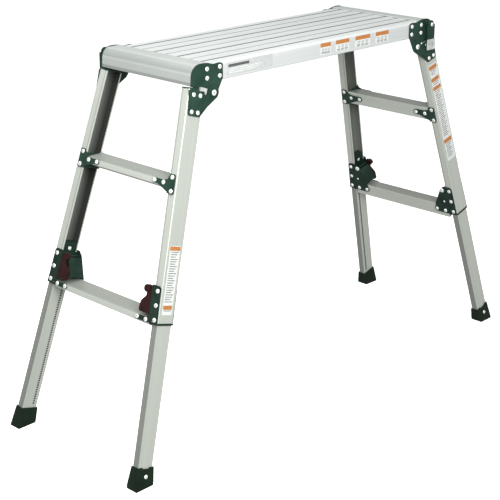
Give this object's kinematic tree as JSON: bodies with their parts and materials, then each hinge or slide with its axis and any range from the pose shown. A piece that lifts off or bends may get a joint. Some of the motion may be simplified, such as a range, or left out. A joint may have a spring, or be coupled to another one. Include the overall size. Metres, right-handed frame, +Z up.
{
  "type": "work platform bench",
  "caption": "Aluminium work platform bench: long plank deck on splayed folding end frames with steps, telescoping legs with release levers and rubber feet.",
  "frame": {"origin": "on the floor, under the centre of the deck", "axes": "+X along the deck, +Y across it, away from the side with the right-hand fold lock, +Z up"},
  "size_m": [1.6466, 0.548, 1.0712],
  "materials": {
    "deck_aluminium": "satin",
    "anodised_aluminium": "satin",
    "green_painted_steel": "semi-gloss dark green",
    "green_plastic": "matte dark green",
    "green_rubber": "matte dark green",
    "maroon_plastic": "semi-gloss maroon",
    "zinc_plate": "dull zinc"
  },
  "bodies": {
    "deck": {"deck_cross_bar_left": "anodised_aluminium", "deck_cross_bar_right": "anodised_aluminium", "deck_hinge_plate_back_left": "green_painted_steel", "deck_hinge_plate_back_right": "green_painted_steel", "deck_hinge_plate_front_left": "green_painted_steel", "deck_hinge_plate_front_right": "green_painted_steel", "deck_nose_left": "deck_aluminium", "deck_nose_right": "deck_aluminium", "deck_plank_1": "deck_aluminium", "deck_plank_2": "deck_aluminium", "deck_plank_3": "deck_aluminium", "deck_rail_back": "deck_aluminium", "deck_rail_front": "deck_aluminium", "stop_pad_back_right": "zinc_plate", "stop_pad_front_left": "zinc_plate"},
    "frame_left": {"leg_collar_back_left": "green_plastic", "leg_collar_front_left": "green_plastic", "leg_hinge_plate_back_left": "green_painted_steel", "leg_hinge_plate_front_left": "green_painted_steel", "leg_lock_housing_back_left": "green_painted_steel", "leg_lock_housing_front_left": "green_painted_steel", "lower_step_left": "anodised_aluminium", "outer_leg_back_left": "anodised_aluminium", "outer_leg_front_left": "anodised_aluminium", "upper_step_bracket_back_left": "green_painted_steel", "upper_step_bracket_front_left": "green_painted_steel", "upper_step_left": "anodised_aluminium"},
    "frame_right": {"leg_collar_back_right": "green_plastic", "leg_collar_front_right": "green_plastic", "leg_hinge_plate_back_right": "green_painted_steel", "leg_hinge_plate_front_right": "green_painted_steel", "leg_lock_housing_back_right": "green_painted_steel", "leg_lock_housing_front_right": "green_painted_steel", "lower_step_right": "anodised_aluminium", "outer_leg_back_right": "anodised_aluminium", "outer_leg_front_right": "anodised_aluminium", "upper_step_bracket_back_right": "green_painted_steel", "upper_step_bracket_front_right": "green_painted_steel", "upper_step_right": "anodised_aluminium"},
    "leg_front_left": {"foot_boot_front_left": "green_rubber", "inner_leg_front_left": "anodised_aluminium", "leg_guide_front_left": "green_plastic"},
    "lever_front_left": {"leg_lock_lever_front_left": "maroon_plastic"},
    "leg_back_left": {"foot_boot_back_left": "green_rubber", "inner_leg_back_left": "anodised_aluminium", "leg_guide_back_left": "green_plastic"},
    "lever_back_left": {"leg_lock_lever_back_left": "maroon_plastic"},
    "leg_front_right": {"foot_boot_front_right": "green_rubber", "inner_leg_front_right": "anodised_aluminium", "leg_guide_front_right": "green_plastic"},
    "lever_front_right": {"leg_lock_lever_front_right": "maroon_plastic"},
    "leg_back_right": {"foot_boot_back_right": "green_rubber", "inner_leg_back_right": "anodised_aluminium", "leg_guide_back_right": "green_plastic"},
    "lever_back_right": {"leg_lock_lever_back_right": "maroon_plastic"},
    "fold_lock_front_right": {"fold_lock_arm_front_right": "green_painted_steel", "fold_lock_claw_front_right": "zinc_plate"},
    "fold_lock_back_left": {"fold_lock_arm_back_left": "green_painted_steel", "fold_lock_claw_back_left": "zinc_plate"}
  },
  "joints": [
    {"name": "frame_left_fold", "type": "hinge", "parent": "deck", "child": "frame_left", "pos_m": [-0.44, 0, 0.99], "axis": [0, -1, 0], "range_deg": [0, 92]},
    {"name": "frame_right_fold", "type": "hinge", "parent": "deck", "child": "frame_right", "pos_m": [0.44, 0, 0.99], "axis": [0, 1, 0], "range_deg": [0, 106.5]},
    {"name": "leg_front_left_slide", "type": "slide", "parent": "frame_left", "child": "leg_front_left", "axis": [0.2838, 0.0879, 0.9549], "range_m": [0, 0.379]},
    {"name": "lever_front_left_pivot", "type": "hinge", "parent": "frame_left", "child": "lever_front_left", "pos_m": [-0.64612, -0.179, 0.49853], "axis": [0.9586, 0, -0.2849], "range_deg": [0, 12], "stiffness_Nm_per_rad": 0.6},
    {"name": "leg_back_left_slide", "type": "slide", "parent": "frame_left", "child": "leg_back_left", "axis": [0.2838, -0.0879, 0.9549], "range_m": [0, 0.379]},
    {"name": "lever_back_left_pivot", "type": "hinge", "parent": "frame_left", "child": "lever_back_left", "pos_m": [-0.64612, 0.179, 0.49853], "axis": [-0.9586, 0, 0.2849], "range_deg": [0, 12], "stiffness_Nm_per_rad": 0.6},
    {"name": "leg_front_right_slide", "type": "slide", "parent": "frame_right", "child": "leg_front_right", "axis": [-0.2838, 0.0879, 0.9549], "range_m": [0, 0.379]},
    {"name": "lever_front_right_pivot", "type": "hinge", "parent": "frame_right", "child": "lever_front_right", "pos_m": [0.64612, -0.179, 0.49853], "axis": [0.9586, 0, 0.2849], "range_deg": [0, 12], "stiffness_Nm_per_rad": 0.6},
    {"name": "leg_back_right_slide", "type": "slide", "parent": "frame_right", "child": "leg_back_right", "axis": [-0.2838, -0.0879, 0.9549], "range_m": [0, 0.379]},
    {"name": "lever_back_right_pivot", "type": "hinge", "parent": "frame_right", "child": "lever_back_right", "pos_m": [0.64612, 0.179, 0.49853], "axis": [-0.9586, 0, -0.2849], "range_deg": [0, 12], "stiffness_Nm_per_rad": 0.6},
    {"name": "fold_lock_front_right_pivot", "type": "hinge", "parent": "deck", "child": "fold_lock_front_right", "pos_m": [0.4935, -0.185, 1.054], "axis": [0, -1, 0], "range_deg": [0, 14], "stiffness_Nm_per_rad": 0.8},
    {"name": "fold_lock_back_left_pivot", "type": "hinge", "parent": "deck", "child": "fold_lock_back_left", "pos_m": [-0.4935, 0.185, 1.054], "axis": [0, 1, 0], "range_deg": [0, 14], "stiffness_Nm_per_rad": 0.8}
  ]
}
